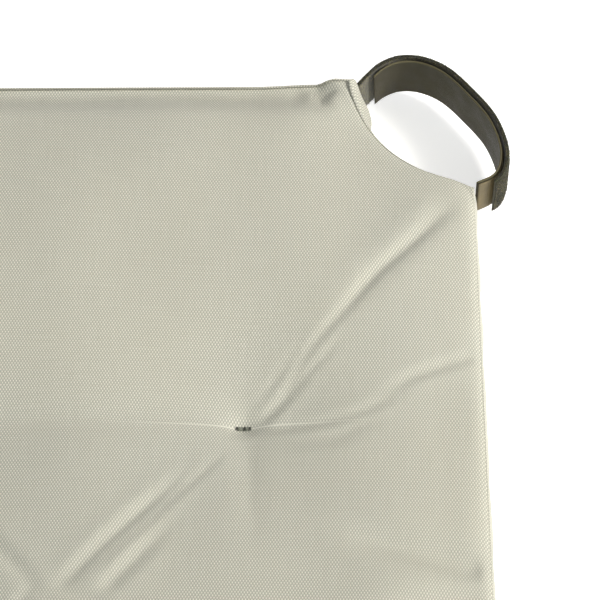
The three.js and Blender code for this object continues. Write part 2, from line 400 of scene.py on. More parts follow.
def tuft_pull(x, y, depth, near, far):
    """How far the tufts pull the cloth in: steep beside each sewn bar, wide and shallow beyond."""
    pulled = np.zeros(x.shape)
    for away in tuft_distances(x, y, TUFT_STRETCH):
        pulled = np.maximum(pulled, depth * (0.3 * np.exp(-away / near) + 0.7 * np.exp(-away / far)))
    return pulled


def corner_lift(x, y):
    """How much the corner where the strap is sewn into the back stands up: a small raised block."""
    out = np.abs(x)
    across = smooth((out - (CUT_BACK_X - 20)) / 9.0)
    slope = 1.6 * bell(out - CUT_BACK_X + 22, 16.0) * bell(y - BACK_Y, 30.0)
    droop = 2.0 * bell(np.hypot(out - HALF_WIDTH, y - CUT_SIDE_Y), 13.0)
    block = CORNER_LIFT * across * bell(np.clip(BACK_Y - y, 0, None), 17.0)
    return block + slope - droop


def row_valley(x, y):
    """The shallow trough that runs along each row of tufts."""
    fade = smooth((TUFT_X + 85 - np.abs(x)) / 70)
    depth = sum(np.exp(-((np.abs(y - TUFTS[row, "right"][1]) / ROW_REACH) ** 1.5)) for row in ROWS)
    return ROW_DIP * depth * fade


def top_height(x, y):
    inside = seam_distance(x, y)
    roll = TOP_ROLL * (1 - np.exp(-inside / 2.2))
    crown = TOP_CROWN * (1 - np.exp(-inside / CROWN_REACH))
    back = -BACK_DROP * np.exp(-np.clip(BACK_Y - BACK_INSET - y, 0, None) / BACK_REACH)
    back *= 1 - np.exp(-inside / 3.0)
    return SEAM_TOP_Z + roll + crown + back + corner_lift(x, y) - row_valley(x, y)


SIM_STEP = 9.0
SIM_FRAMES = 20
MOST_SWELL = 6.0
CLOTH_SETTINGS = {
    "quality": 6, "mass": 0.3, "vertex_group_mass": "held",
    "tension_stiffness": 25, "compression_stiffness": 25, "shear_stiffness": 8, "bending_stiffness": 1.5,
    "use_pressure": True, "uniform_pressure_force": 4.0,
}


def stuffed_swell():
    """How the top cloth moves when the pad is blown up between its seams and its tufts.

    Gives the stops of a regular lattice in x and in y, and the movement at each of its points."""
    plan = PadMesh(SIM_STEP, ring_gaps=(0, 4.0))
    x, y = plan.points.T
    top = np.column_stack([x, y, top_height(x, y) - tuft_pull(x, y, *TUFT_DIP)])
    base = np.column_stack([x, y, np.full(x.shape, SEAM_LOW_Z)])
    count = len(x)
    obj = new_object("swelling", np.concatenate([top, base]), closed_faces(plan))
    held = set(plan.rim.tolist()) | set(range(count, 2 * count))
    held |= {int(np.argmin(away)) for away in tuft_distances(x, y, 1)}
    obj.vertex_groups.new(name="held").add(sorted(held), 1.0, "REPLACE")
    cloth = obj.modifiers.new("cloth", "CLOTH")
    for name, value in CLOTH_SETTINGS.items():
        setattr(cloth.settings, name, value)
    cloth.settings.effector_weights.gravity = 0
    cloth.point_cache.frame_start = 1
    cloth.point_cache.frame_end = SIM_FRAMES
    for number in range(1, SIM_FRAMES + 1):
        bpy.context.scene.frame_set(number)
    mesh = obj.evaluated_get(bpy.context.evaluated_depsgraph_get()).to_mesh()
    moved = np.empty(len(mesh.vertices) * 3)
    mesh.vertices.foreach_get("co", moved)
    swell = np.clip(moved.reshape(-1, 3)[:count] / MM - top, -MOST_SWELL, MOST_SWELL)
    bpy.context.scene.frame_set(1)
    bpy.data.objects.remove(obj)
    stops_x = np.arange(-HALF_WIDTH, HALF_WIDTH + SIM_STEP, SIM_STEP)
    stops_y = np.arange(FRONT_Y, BACK_Y + SIM_STEP, SIM_STEP)
    field = np.zeros((len(stops_y), len(stops_x), 3))
    column = np.rint((x + HALF_WIDTH) / SIM_STEP).astype(int)
    row = np.rint((y - FRONT_Y) / SIM_STEP).astype(int)
    on_lattice = np.hypot(x - stops_x[column], y - stops_y[row]) < 0.01
    field[row[on_lattice], column[on_lattice]] = swell[on_lattice]
    return stops_x, stops_y, field


def cubic_weights(stops, wanted):
    """Rows of weights that read a smooth curve through values at stops, at the wanted places."""
    count = len(stops)
    place = np.interp(wanted, stops, np.arange(count))
    low = np.clip(np.floor(place).astype(int), 0, count - 2)
    t = place - low
    parts = {
        -1: (-t + 2 * t**2 - t**3) / 2,
        0: (2 - 5 * t**2 + 3 * t**3) / 2,
        1: (t + 4 * t**2 - 3 * t**3) / 2,
        2: (-(t**2) + t**3) / 2,
    }
    weights = np.zeros((len(wanted), count))
    for step, weight in parts.items():
        np.add.at(weights, (np.arange(len(wanted)), np.clip(low + step, 0, count - 1)), weight)
    return weights


# --- creases

# Creases round a back tuft, in millimetres from it (x outwards, y backwards): points, half width,
# depth, and the share of the length over which it fades in and out.
CREASES = [
    ([(6, 1), (19, 16), (26, 29), (34, 42), (49, 61), (63, 80), (80, 98), (97, 117)], 1.9, 0.95, 0.02, 0.15),
    ([(34, 42), (49, 61), (63, 80), (80, 98), (102, 124)], 4.6, 1.5, 0.45, 0.15),
    ([(6, 8), (9, 14), (16, 24), (25, 38), (33, 51)], 1.8, 0.6, 0.15, 0.5),
    ([(9, 1), (22, 15), (31, 27), (39, 36), (50, 48)], 1.8, 1.0, 0.08, 0.5),
    ([(5, -1), (17, -2), (30, -1), (49, 3), (66, 10), (82, 17)], 2.0, 1.0, 0.1, 0.35),
    ([(52, 8), (66, 15), (78, 23), (94, 30), (111, 37)], 2.4, 1.2, 0.5, 0.08),
    ([(5, -6), (21, -10), (38, -10), (49, -6), (68, 5)], 3.0, 0.7, 0.3, 0.4),
    ([(-18, -19), (-37, -39), (-54, -57), (-68, -72), (-87, -94)], 3.0, 1.6, 0.4, 0.25),
    ([(-6, -12), (-16, -24), (-34, -44), (-45, -57), (-57, -69), (-78, -94)], 1.6, 0.8, 0.15, 0.3),
    ([(-30, -52), (-38, -62), (-51, -77), (-67, -95)], 3.0, 1.2, 0.5, 0.25),
    ([(1, -6), (3, -42), (4, -80)], 5.0, 0.6, 0.1, 0.5),
    ([(36, -58), (62, -66), (82, -72), (108, -80)], 6.5, 2.6, 0.4, 0.1),
    ([(-6, 3), (-34, 5), (-70, 6)], 5.0, 0.5, 0.1, 0.5),
]
FOLD_RIDGE = 0.3


def crease_depth(x, y):
    """The creases of all four tufts, mirrored from one and each made a little different."""
    total = np.zeros(x.shape)
    for (row, side), centre in TUFTS.items():
        flip_x = SIDES[side]
        flip_y = 1 if row == "back" else -1
        copied = (row, side) != ("back", "right")
        for points, width, depth, fade_in, fade_out in CREASES:
            share = 1.0
            wander = np.zeros((len(points), 2))
            if copied:
                share = 0.45 + 0.5 * rng.random()
                wander = rng.normal(0, 3.2, (len(points), 2)) * np.linspace(0.2, 1, len(points))[:, None]
            route = (np.array(points, float) + wander) * (flip_x, flip_y) + centre[:2]
            away, place = along_line(x, y, curved(route))
            fade = smooth(place / fade_in) * smooth((1 - place) / fade_out)
            away = away * flip_x * flip_y
            valley = np.exp(-((np.abs(away) / width) ** 1.4))
            ridge = FOLD_RIDGE * sum(bell(away + shift * width, 1.5 * width) for shift in (-2.1, 2.1))
            total += share * depth * fade * (valley - ridge)
    return total


def soft_waves(x, y):
    """Slow unevenness of the stuffing."""
    waves = np.zeros(x.shape)
    for _ in range(9):
        length = rng.uniform(45, 130)
        angle = rng.uniform(0, math.tau)
        phase = rng.uniform(0, math.tau)
        waves += rng.uniform(0.08, 0.22) * np.sin(
            math.tau * (x * math.cos(angle) + y * math.sin(angle)) / length + phase)
    return waves


# --- cover: top, underside and side strips

TOP_STEP = 2.3
UNDER_STEP = 5.0


# Gathers beside a raised corner block: height, distance in from the cut, width, distance in from
# the back edge, length, and how much each leans.
GATHERS = [
    (2.2, 13, 2.6, 8, 3.6, 0),
    (1.6, 17, 2.2, 12, 6.0, 0.6),
    (-1.0, 22, 3.4, 9, 4.0, 0),
    (0.8, 30, 4.0, 10, 7.0, 0),
]


def corner_pucker(x, y):
    """Small gathers in the top cloth beside each raised corner block."""
    total = np.zeros(x.shape)
    for height, from_cut, width, from_back, length, lean in GATHERS:
        ahead = y - (BACK_Y - from_back)
        across = np.abs(x) - (CUT_BACK_X - from_cut) + lean * ahead
        total += height * bell(across, width) * bell(ahead, length)
    return total


def panel(name, node, plan, heights, shift=None, flip=False):
    """A cover panel on a plan mesh, with its outer face at the given heights."""
    x, y = plan.points.T
    grain_x, grain_y = turned_grain(x, y)
    if shift is None:
        shift = np.zeros((len(x), 2))
    vertices = np.column_stack([x + shift[:, 0], y + shift[:, 1], heights])
    faces = [face[::-1] for face in plan.faces] if flip else plan.faces
    obj = new_object(name, vertices, faces, np.column_stack([grain_x, grain_y, np.zeros(len(x))]))
    return stands_for(thicken(obj), node, "pad")


def top_panel():
    plan = PadMesh(TOP_STEP)
    x, y = plan.points.T
    stops_x, stops_y, field = stuffed_swell()
    over = cubic_weights(stops_y, y)
    side = cubic_weights(stops_x, x)
    moved = np.stack([np.einsum("ni,ij,nj->n", over, field[..., axis], side, optimize=True)
                      for axis in range(3)], 1)
    inside = seam_distance(x, y)
    moved *= smooth(inside / 9)[:, None]
    heights = top_height(x, y) - tuft_pull(x, y, *TUFT_DIP) + moved[:, 2]
    heights -= crease_depth(x, y) * smooth(inside / 9)
    heights += soft_waves(x, y) * smooth(inside / 14) - corner_pucker(x, y) * smooth(inside / 1.5)
    for away in tuft_distances(x, y, 1.6):
        sewn = bell(away, 4.0)
        heights = heights * (1 - sewn) + TUFT_FLOOR_Z * sewn
    to_back = smooth((y - CUT_SIDE_Y - 2) / 8)
    heights -= 1.3 * bell(inside, 0.8) * to_back
    return panel("cover_top_cloth", "cover_top", plan, heights, moved[:, :2])


def under_height(x, y):
    inside = seam_distance(x, y)
    height = SEAM_LOW_Z * np.exp(-inside / 2.4)
    for away in tuft_distances(x, y, TUFT_STRETCH):
        height = np.maximum(height, TUFT_UNDER_Z * np.exp(-((away / 12) ** 1.4)))
    return height


def under_panel():
    plan = PadMesh(UNDER_STEP)
    return panel("cover_bottom_cloth", "cover_bottom", plan, under_height(*plan.points.T), flip=True)


def strip_line(name, level):
    """The plan of one side strip at a level from its widest line to its seams, counter-clockwise."""
    half = half_outline(level, 0)
    front = chained(half["front"], half["turn"])
    return {
        "cover_side_front": chained(mirrored(front), front),
        "cover_side_right": half["side"],
        "cover_notch_right": half["notch"],
        "cover_side_back": chained(half["back"], mirrored(half["back"])),
        "cover_notch_left": mirrored(half["notch"]),
        "cover_side_left": mirrored(half["side"]),
    }[name]


STRIP_NAMES = ["cover_side_front", "cover_side_right", "cover_notch_right",
               "cover_side_back", "cover_notch_left", "cover_side_left"]
TUCKED_SEAMS = ("cover_notch_left", "cover_notch_right", "cover_side_back")
STRIP_STEP = 3.0
STRIP_END_ROWS = (0.8, 1.8, 3.2, 5.0)
CORNER_BULGE = 4.5
CORNER_BULGE_PLACE = 16.0
CORNER_BULGE_REACH = 7.5
NOTCH_FULLNESS = 0.75
NOTCH_FULL_PLACE = 8
END_PINCH = 0.35
END_PINCH_REACH = 5.0
SEAM_TUCK = 0.2
SEAM_SHARE = 0.03
STRIP_ROWS = np.array([0, 0.02, 0.05, 0.1, 0.17, 0.26, 0.38, 0.5, 0.62, 0.74, 0.83, 0.9, 0.95, 0.98, 1])


def side_strip(name):
    """One side strip, bulging between its top and bottom seams and drawn in at its end seams."""
    length = lengths_along(strip_line(name, 0))[-1]
    stops = spaced(length, STRIP_STEP, STRIP_END_ROWS)
    up = STRIP_ROWS[:, None]
    to_end = np.minimum(stops, length - stops)[None, :]
    pinch = 1 - END_PINCH * np.exp(-to_end / END_PINCH_REACH)
    uneven = np.zeros(stops.shape)
    for _ in range(7):
        size = rng.uniform(0.05, 0.14)
        uneven += size * np.sin(math.tau * stops / rng.uniform(18, 90) + rng.uniform(0, 6))
    tucked = SEAM_TUCK if name in TUCKED_SEAMS else 0.0
    fullness = 0.4 if name in TUCKED_SEAMS else 0.6
    bulge = np.sin(math.pi * up) ** fullness * pinch * (1 + 0.4 * uneven * np.sin(math.pi * up))
    at_notch = name.startswith("cover_notch")
    to_back = length - stops if name.endswith("right") else stops
    if at_notch:
        fuller = NOTCH_FULLNESS * bell(to_back - NOTCH_FULL_PLACE, 17.0)
        bulge = bulge + fuller * (1 - np.abs(2 * up - 1) ** 6)
    level = 1 - bulge + tucked * (bell(up, SEAM_SHARE) + bell(1 - up, SEAM_SHARE))
    levels = np.linspace(-0.8, 1.2, 21)
    lines = np.stack([at_fraction(strip_line(name, value), stops / length) for value in levels])
    place = np.clip((level - levels[0]) / (levels[1] - levels[0]), 0, len(levels) - 1.001)
    low = place.astype(int)
    share = (place - low)[..., None]
    columns = np.broadcast_to(np.arange(len(stops)), level.shape)
    plan = lines[low, columns] * (1 - share) + lines[low + 1, columns] * share
    seam_line = lines[np.argmin(np.abs(levels - 1))]
    seam_top = SEAM_TOP_Z + corner_lift(seam_line[:, 0], seam_line[:, 1])
    height = SEAM_LOW_Z + (seam_top - SEAM_LOW_Z) * up
    height = height + 0.5 * uneven * np.sin(math.pi * up)
    if at_notch:
        outward = np.array([math.copysign(HALF_WIDTH, plan[0, 0, 0]), BACK_Y]) - plan
        full = CORNER_BULGE * bell(to_back - CORNER_BULGE_PLACE, CORNER_BULGE_REACH)
        full = full * np.sin(math.pi * up) ** 0.7
        plan = plan + outward / np.linalg.norm(outward, axis=2)[..., None] * full[..., None]
    grid = np.dstack([plan, height])
    cloth = np.dstack([np.broadcast_to(stops, level.shape), height * 1.15, np.zeros(level.shape)])
    rows, around = grid.shape[:2]
    obj = new_object(f"{name}_cloth", grid.reshape(-1, 3), grid_faces(rows, around), cloth.reshape(-1, 3))
    return stands_for(thicken(obj), name, "pad")


# --- filling

WADDING = 4.0
FILLING_SLACK = 4.0
CLEAR_ABOVE = 4.5
CLEAR_BELOW = 1.6
LAYER_GAP = 0.4


def filling_layer(name, upper, lower):
    """A closed layer of filling between two height functions, drawn in from the side strips."""
    plan = PadMesh(SIM_STEP, FILLING_SLACK, (0, 3.0))
    x, y = plan.points.T
    vertices = np.concatenate([np.column_stack([x, y, upper(x, y)]), np.column_stack([x, y, lower(x, y)])])
    obj = new_object(f"{name}_layer", vertices, closed_faces(plan), vertices)
    stands_for(obj, name, "pad")
    return obj


def core_top(x, y):
    return top_height(x, y) - corner_lift(x, y) - CLEAR_ABOVE - tuft_pull(x, y, 13, 14, 30)


def core_low(x, y):
    return under_height(x, y) + CLEAR_BELOW


def filling():
    return {
        "wadding_top": filling_layer("wadding_top", core_top,
                                     lambda x, y: core_top(x, y) - WADDING),
        "foam_core": filling_layer("foam_core",
                                   lambda x, y: core_top(x, y) - WADDING - LAYER_GAP,
                                   lambda x, y: core_low(x, y) + WADDING + LAYER_GAP),
        "wadding_bottom": filling_layer("wadding_bottom",
                                        lambda x, y: core_low(x, y) + WADDING, core_low),
    }


# --- thread tubes

def tube(points, radius, sides=6):
    """Vertices and faces of one closed thread along points, in millimetres, with rounded ends."""
    points = np.asarray(points, float)
    radii = np.full(len(points), radius)
    radii[0] = radii[-1] = 0.35 * radius
    tangents = np.gradient(points, axis=0)
    tangents /= np.linalg.norm(tangents, axis=1)[:, None] + 1e-12
    up = np.array([0.0, 0.0, 1.0]) if abs(tangents[0][2]) < 0.9 else np.array([1.0, 0.0, 0.0])
    rings = []
    for point, tangent, size in zip(points, tangents, radii):
        across = np.cross(tangent, up)
        if np.linalg.norm(across) < 1e-3:
            across = np.cross(tangent, np.array([0.3, 1.0, 0.0]))
        across /= np.linalg.norm(across)
        up = np.cross(across, tangent)
        turn = np.linspace(0, math.tau, sides, endpoint=False)[:, None]
        rings.append(point + size * (np.cos(turn) * across + np.sin(turn) * up))
    vertices = np.concatenate(rings)
    faces = ring_faces(len(points), sides)
    faces.append(tuple(range(sides))[::-1])
    faces.append(tuple(range((len(points) - 1) * sides, len(points) * sides)))
    return vertices, faces


def threads(name, runs, sides=6):
    """One object of many separate threads; runs are (points, radius) pairs."""
    vertices, faces, count = [], [], 0
    for points, radius in runs:
        more, quads = tube(points, radius, sides)
        vertices.append(more)
        faces += [tuple(i + count for i in quad) for quad in quads]
        count += len(more)
    return new_object(name, np.concatenate(vertices), faces)


TUFT_STITCHES = 12
STITCH_RADIUS = 0.27
LAID_THREADS = (-0.45, 0.0, 0.45)
LAID_RADIUS = 0.24
THROUGH_THREADS = (-2.1, -0.9, 0.3, 1.5)
THROUGH_RADIUS = 0.3


def tuft_thread(row, side):
    """A sewn bar: a zigzag of close stitches over laid threads, above and below, and the threads between."""
    low, high = node_box(f"tuft_{row}_{side}")
    x, y = (low[:2] + high[:2]) / 2
    length = high[0] - low[0]
    width = high[1] - low[1]
    runs = []
    for z, up in ((high[2] + TUFT_RISE - 1.0, 1), (low[2] + 0.9, -1)):
        for k in range(TUFT_STITCHES):
            along = x - length / 2 + 0.4 + (length - 0.8) * k / (TUFT_STITCHES - 1)
            lean = 0.22 * (-1) ** k + rng.normal(0, 0.05)
            turn = np.linspace(0, math.pi, 7)
            reach = width / 2 * rng.uniform(0.85, 1.02)
            runs.append((np.stack([along + lean * np.cos(turn), y + reach * np.cos(turn),
                                   z + up * (0.75 * np.sin(turn) - 0.25)], 1), STITCH_RADIUS))
        for offset in LAID_THREADS:
            span = np.linspace(-length / 2 + 0.3, length / 2 - 0.3, 6)
            runs.append((np.stack([x + span, np.full(6, y + offset), np.full(6, z)], 1), LAID_RADIUS))
    for offset in THROUGH_THREADS:
        heights = np.linspace(low[2] + 0.8, high[2] + TUFT_RISE - 0.8, 6)
        runs.append((np.stack([np.full(6, x + offset), np.full(6, y), heights], 1), THROUGH_RADIUS))
    obj = threads(f"tuft_{row}_{side}_thread", runs)
    return stands_for(obj, f"tuft_{row}_{side}", "pad")


STITCH_PITCH = 3.4


def seam_stitches(name, z, lifted):
    """The line of stitches down in the top or bottom seam of both cut corners."""
    loops = [half_outline(1, -0.1)["notch"]]
    loops.append(mirrored(loops[0]))
    runs = []
    for loop in loops:
        count = round(lengths_along(loop)[-1] / STITCH_PITCH)
        for k in range(count):
            fractions = (k + np.linspace(0.08, 0.86, 4)) / count
            plan = at_fraction(loop, fractions)
            sag = np.array([-0.25, 0, 0, -0.25]) + lifted * corner_lift(plan[:, 0], plan[:, 1])
            runs.append((np.column_stack([plan, z + sag]), 0.2))
    obj = threads(name, runs, sides=5)
    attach(obj, "pad")
    return obj


# --- straps

# The strap's middle line in plan, from the back edge round to the side, in millimetres from the
# square corner that the cut takes away. It hangs a little looser than the CAD model's plain curve.
STRAP_POINTS = [(-56.2, -0.4), (-50, 7.3), (-43.5, 13.8), (-34.5, 17.6), (-23.5, 16.6), (-12, 10),
                (-0.7, -3.2), (8.4, -16.8), (13.4, -32), (13.6, -44), (9.6, -53), (0.5, -58.1)]
TAPE_THICKNESS = 0.8
TAPE_WIDTH = STRAP_HIGH - STRAP_LOW
PILE_THICKNESS = 1.1
HOOK_BASE = 0.35
OUTER_TAPE_OFFSET = 1.8
PILE_OFFSET = 0.55
HOOKS_OFFSET = -0.7
INNER_TAPE_OFFSET = -1.8
OUTER_TAPE_SPAN = (0, 7.5)
PILE_SPAN = (1.5, 8.5)
HOOKS_SPAN = (22, 0.8)
INNER_TAPE_SPAN = (10.5, 0)
INNER_TAPE_SLANT = 2.0
STRAP_STEP = 1.3
FIBRE_RADIUS = 0.11


class StrapLine:
    """A stretch of the strap's middle line, with its outward direction at every point."""

    def __init__(self, cut_back, cut_side):
        dense = curved(STRAP_POINTS, 40)
        along = lengths_along(dense)
        count = round((along[-1] - cut_back - cut_side) / STRAP_STEP)
        self.stops = np.linspace(cut_back, along[-1] - cut_side, count)
        self.points = at_fraction(dense, self.stops / along[-1])
        tangent = np.gradient(self.points, axis=0)
        tangent /= np.linalg.norm(tangent, axis=1)[:, None]
        self.outward = np.stack([-tangent[:, 1], tangent[:, 0]], 1)

    def place(self, stop, offset, z, side):
        """Points this far along the line, this far outwards and this high, on the left or right corner."""
        middle = [np.interp(stop, self.stops, self.points[:, k]) for k in (0, 1)]
        outward = [np.interp(stop, self.stops, self.outward[:, k]) for k in (0, 1)]
        plan = np.stack([middle[k] + outward[k] * offset for k in (0, 1)], -1)
        x = side * (HALF_WIDTH + plan[..., 0])
        return np.stack([x, BACK_Y + plan[..., 1], np.broadcast_to(z, x.shape)], -1)


def tape_section(thickness, low, high, selvedge):
    """Outline of a tape's end: flat faces, rounded edges, and a slightly thicker woven selvedge."""
    half = thickness / 2
    edge_rows = np.array([0.35, 0.9, 1.6])
    rows = np.concatenate([low + edge_rows, np.linspace(low + 2.6, high - 2.6, 9), high - edge_rows[::-1]])
    swell = half + selvedge * (bell(rows - low - 0.7, 0.6) + bell(high - 0.7 - rows, 0.6))
    up = np.column_stack([swell, rows])
    cap = np.array([(half * 0.6, high - 0.08), (0, high), (-half * 0.6, high - 0.08)])
    down = np.column_stack([-swell[::-1], rows[::-1]])
    foot = np.array([(-half * 0.6, low + 0.08), (0, low), (half * 0.6, low + 0.08)])
    return np.concatenate([up, cap, down, foot])


def tape(node, ending, body, side, span, offset, thickness, selvedge, margin=0.0, slant=0.0):
    """A woven tape standing on edge along the strap line, named after its CAD node."""
    line = StrapLine(*span)
    section = tape_section(thickness, STRAP_LOW + margin, STRAP_HIGH - margin, selvedge)
    count, around = len(line.points), len(section)
    ends = np.minimum(line.stops - line.stops[0], line.stops[-1] - line.stops)
    slim = 0.35 + 0.65 * smooth(ends / 0.8)
    length = line.stops[-1] - line.stops[0]
    below = (STRAP_HIGH - section[:, 1]) / TAPE_WIDTH
    vertices, cloth = [], []
    for i, stop in enumerate(line.stops):
        stops = stop + slant * below * (1 - (stop - line.stops[0]) / length)
        vertices.append(line.place(stops, offset + section[:, 0] * slim[i], section[:, 1], side))
        cloth.append(np.column_stack([stops, section[:, 1], section[:, 0]]))
    vertices = np.concatenate(vertices)
    faces = []
    for i in range(count - 1):
        a, b = i * around, (i + 1) * around
        faces += [(a + k, b + k, b + (k + 1) % around, a + (k + 1) % around) for k in range(around)]
    faces.append(tuple(range(around)))
    faces.append(tuple(range((count - 1) * around, count * around))[::-1])
    if side > 0:
        faces = [face[::-1] for face in faces]
    obj = new_object(f"{node}_{ending}", vertices, faces, np.concatenate(cloth))
    return stands_for(obj, node, body), line


def hair_runs(line, side, stops, offsets, heights, reach, rise=0.0):
    """Short bent fibres standing out of a strap: reach outwards from its faces, rise up from its edges."""
    runs = []
    bend = np.array([0, 0.4, 0.8, 1.0])
    for stop, offset, height in zip(stops, offsets, heights):
        lean = rng.normal(0, 0.5, 3)
        size = rng.uniform(0.5, 1.15)
        along = stop + lean[0] * bend**2
        out = offset + bend * size * reach + (0.5 * lean[1] * bend**2 if rise else 0)
        high = height + bend * size * rise + (0 if rise else lean[2] * bend**2)
        runs.append((line.place(along, out, high, side), FIBRE_RADIUS))
    return runs


def joined_piece(obj, extra):
    """Adds another object's mesh to this one, as one piece."""
    with bpy.context.temp_override(active_object=obj, selected_editable_objects=[obj, extra]):
        bpy.ops.object.join()


def strap_pair(label, side):
    """The two tapes of one corner, closed: pile on the outer one, hooks on the inner one."""
    outer_body, inner_body = f"outer_flap_{label}", f"inner_flap_{label}"
    outer, outer_line = tape(f"outer_strap_{label}", "tape", outer_body, side, OUTER_TAPE_SPAN,
                             OUTER_TAPE_OFFSET, TAPE_THICKNESS, 0.06)
    inner, inner_line = tape(f"inner_strap_{label}", "tape", inner_body, side, INNER_TAPE_SPAN,
                             INNER_TAPE_OFFSET, TAPE_THICKNESS, 0.05, slant=INNER_TAPE_SLANT)
    pile, pile_line = tape(f"loop_pile_{label}", "nap", outer_body, side, PILE_SPAN,
                           PILE_OFFSET + 0.2, PILE_THICKNESS - 0.4, 0, margin=0.4)
    joined_piece(pile, threads("fuzz", pile_fuzz(pile_line, side), sides=3))
    hooks, hook_line = tape(f"hook_field_{label}", "hooks", inner_body, side, HOOKS_SPAN,
                            HOOKS_OFFSET - 0.25, HOOK_BASE, 0, margin=1.5)
    joined_piece(hooks, hook_rows(hook_line, side))
    return {"outer": outer, "inner": inner, "pile": pile, "hooks": hooks}


# Hairs of the pile: on its top and foot edges, on its face towards the free end, and at its tip.
TOP_HAIRS = 2600
FOOT_HAIRS = 900
END_HAIRS = 2400
TIP_HAIRS = 500


def pile_fuzz(line, side):
    """Loose loops of pile along both edges of the strap, and a ragged mat of them at its free end."""
    share = 1.0
    first, last = line.stops[0], line.stops[-1]

    def along(count):
        return rng.uniform(first, last, int(count * share))

    def near_end(count, spread):
        return np.clip(last + 0.8 - np.abs(rng.normal(0, spread, int(count * share))), first, last + 0.8)

    def rows(stops):
        return rng.uniform(STRAP_LOW + 0.6, STRAP_HIGH - 0.6, len(stops))

    def across(stops):
        return rng.uniform(PILE_OFFSET - 0.2, OUTER_TAPE_OFFSET + 0.1, len(stops))

    top, foot = along(TOP_HAIRS), along(FOOT_HAIRS)
    fuzz = hair_runs(line, side, top, across(top), np.full(len(top), STRAP_HIGH - 0.5), 0, rise=0.75)
    fuzz += hair_runs(line, side, foot, across(foot), np.full(len(foot), STRAP_LOW + 0.5), 0, rise=-0.6)
    face = OUTER_TAPE_OFFSET + TAPE_THICKNESS / 2 - 0.1
    end = near_end(END_HAIRS, 9)
    fuzz += hair_runs(line, side, end, np.full(len(end), face), rows(end), 0.6)
    tip = near_end(TIP_HAIRS, 1.5)
    fuzz += hair_runs(line, side, tip, across(tip), rows(tip), 0.2)
    return fuzz


def hook_rows(line, side):
    """Rows of small bent hooks on the outer face of the inner tape."""
    runs = []
    step = 1
    for index in range(1, len(line.points) - 1, step):
        for height in np.arange(STRAP_LOW + 2.2, STRAP_HIGH - 2, 1.5):
            stagger = 0.4 * (index % 2)
            turn = np.linspace(0, 2.6, 5)
            offsets = HOOKS_OFFSET - 0.1 + 0.42 * np.sin(turn * 0.72)
            heights = height + stagger + 0.28 * (1 - np.cos(turn))
            runs.append((line.place(np.full(5, line.stops[index]), offsets, heights, side), 0.1))
    return threads("hook_rows", runs, sides=4)


# --- materials

def linear(colour):
    """Three numbers from 0 to 255, as a colour looks on screen, made into what a shader wants."""
    if isinstance(colour, bpy.types.NodeSocket):
        return colour
    shares = [value / 255 for value in colour]
    return (*(c / 12.92 if c <= 0.04045 else ((c + 0.055) / 1.055) ** 2.4 for c in shares), 1.0)


class Nodes:
    """A material's node tree, with short ways to add and join its nodes."""

    def __init__(self, name):
        self.material = bpy.data.materials.new(name)
        self.material.use_nodes = True
        self.tree = self.material.node_tree
        self.shader = self.tree.nodes["Principled BSDF"]

    def add(self, kind, inputs=(), **settings):
        node = self.tree.nodes.new(kind)
        for key, value in settings.items():
            setattr(node, key, value)
        for key, value in dict(inputs).items():
            self.put(node.inputs[key], value)
        return node

    def put(self, socket, value):
        if isinstance(value, bpy.types.NodeSocket):
            self.tree.links.new(value, socket)
        else:
            socket.default_value = value

    def math(self, operation, a, b=0.0):
        return self.add("ShaderNodeMath", {0: a, 1: b}, operation=operation).outputs[0]

    def distance(self, value, middle):
        return self.math("ABSOLUTE", self.math("SUBTRACT", value, middle))

    def wave(self, value, length):
        return self.math("SINE", self.math("MULTIPLY", value, math.tau / length))

    def noise(self, vector, scale, detail=3.0, roughness=0.55):
        inputs = {"Vector": vector, "Scale": scale, "Detail": detail, "Roughness": roughness}
        return self.add("ShaderNodeTexNoise", inputs).outputs["Fac"]

    def stretched(self, vector, scale):
        return self.add("ShaderNodeMapping", {"Vector": vector, "Scale": scale}).outputs[0]

    def range(self, *numbers):
        """A value, the range it is in, and the range it goes to."""
        return self.add("ShaderNodeMapRange", enumerate(numbers)).outputs[0]

    def mix(self, factor, a, b, blend="MIX"):
        inputs = {"Factor": factor, 6: linear(a), 7: linear(b)}
        return self.add("ShaderNodeMix", inputs, data_type="RGBA", blend_type=blend).outputs[2]

    def bump(self, height, distance, strength):
        inputs = {"Strength": strength, "Distance": distance, "Height": height}
        return self.add("ShaderNodeBump", inputs).outputs[0]

    def cloth(self):
        """The place on the flat cloth, in millimetres."""
        return self.add("ShaderNodeAttribute", attribute_name="cloth").outputs["Vector"]

    def place(self):
        return self.add("ShaderNodeTexCoord").outputs["Object"]

    def split(self, vector):
        return self.add("ShaderNodeSeparateXYZ", {0: vector}).outputs[:3]

    def finish(self, colour, roughness, normal, **constants):
        self.put(self.shader.inputs["Base Color"], colour)
        self.put(self.shader.inputs["Roughness"], roughness)
        self.put(self.shader.inputs["Normal"], normal)
        for name, value in constants.items():
            self.shader.inputs[name.replace("_", " ")].default_value = value
        return self.material


def pulled_fold_highlight(n):
    """Where a weft thread, drawn tight by a tuft, runs straight out from it on both sides in a fine fold: a
    painted highlight along that fold.
    """
    x, y, _ = n.split(n.place())
    away = n.distance(n.math("ABSOLUTE", x), TUFT_X * MM)
    fade = n.range(away, 0.012, 0.065, 0.6, 0.0)
    lines = 0.0
    for row in ROWS:
        off = n.distance(y, TUFTS[row, "right"][1] * MM)
        lines = n.math("ADD", lines, n.range(off, 0.00015, 0.0006, 1.0, 0.0))
    return n.math("MULTIPLY", lines, fade)


